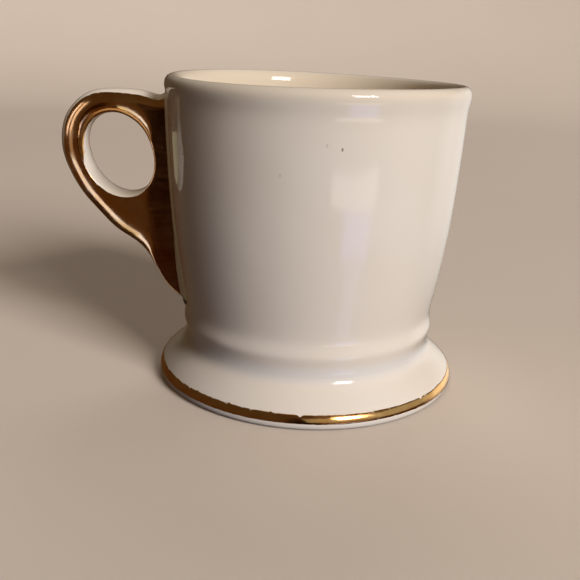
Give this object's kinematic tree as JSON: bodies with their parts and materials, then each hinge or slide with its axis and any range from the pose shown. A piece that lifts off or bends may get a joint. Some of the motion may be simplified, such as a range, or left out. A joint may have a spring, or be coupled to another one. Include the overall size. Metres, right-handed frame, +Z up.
{
  "type": "shaving mug",
  "caption": "Porcelain shaving mug: round cup with rolled lip and low bead, wide flared foot with a gold line, and a gilded ring handle with a tapering tail.",
  "frame": {"origin": "on the table plane under the foot, at the middle of the whole mug's outline, handle included; the mug's own axis is 15.2 mm from it along +X", "axes": "+Z up along the mug's axis, -X towards the handle, Y across the handle's plate"},
  "size_m": [0.1248, 0.0944, 0.092],
  "materials": {
    "porcelain": "glossy cream-white glaze over porcelain, bare and matt on the contact ring under the foot",
    "slip": "fired clay slip under the same glossy glaze",
    "gold": "hand-painted fired bright gold, mirror-like, worn and ragged at its edges"
  },
  "bodies": {
    "root": {"bowl": "porcelain", "foot": "porcelain", "handle": "porcelain", "foot_slip_seam": "slip", "handle_slip_seam": "slip", "handle_gilding_front": "gold", "handle_gilding_back": "gold", "foot_gold_band": "gold"}
  },
  "joints": []
}
